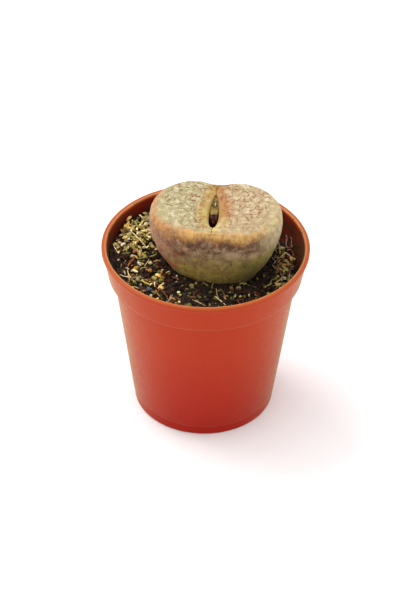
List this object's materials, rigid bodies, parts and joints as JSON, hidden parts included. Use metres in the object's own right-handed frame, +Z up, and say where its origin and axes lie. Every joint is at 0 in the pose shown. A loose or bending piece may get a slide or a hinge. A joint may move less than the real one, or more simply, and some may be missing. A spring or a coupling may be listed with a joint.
{
  "type": "potted living stone",
  "caption": "Living stone succulent: a fused pair of fleshy leaves with an open fissure, rooted in gritty mix in a small round tapered nursery pot.",
  "frame": {"origin": "on the ground plane under the centre of the pot", "axes": "+Z up along the pot's axis; -Y is the front, from which the picture looks; the fissure runs front to back, about along Y"},
  "size_m": [0.055, 0.055, 0.0612],
  "materials": {
    "pot_plastic": "terracotta-coloured satin moulded plastic",
    "potting_mix": "dark peat with pale grit, bark and fibres",
    "leaf_skin": "matt waxy leaf skin, khaki with red-brown net marks",
    "young_leaf": "smooth olive young leaf",
    "dry_flower": "dry dark brown, slightly glossy",
    "root": "corky light brown root"
  },
  "bodies": {
    "root": {"pot": "pot_plastic", "potting_mix": "potting_mix", "leaf_pair": "leaf_skin", "young_leaf_pair": "young_leaf", "flower_stub": "dry_flower", "taproot": "root"}
  },
  "joints": []
}
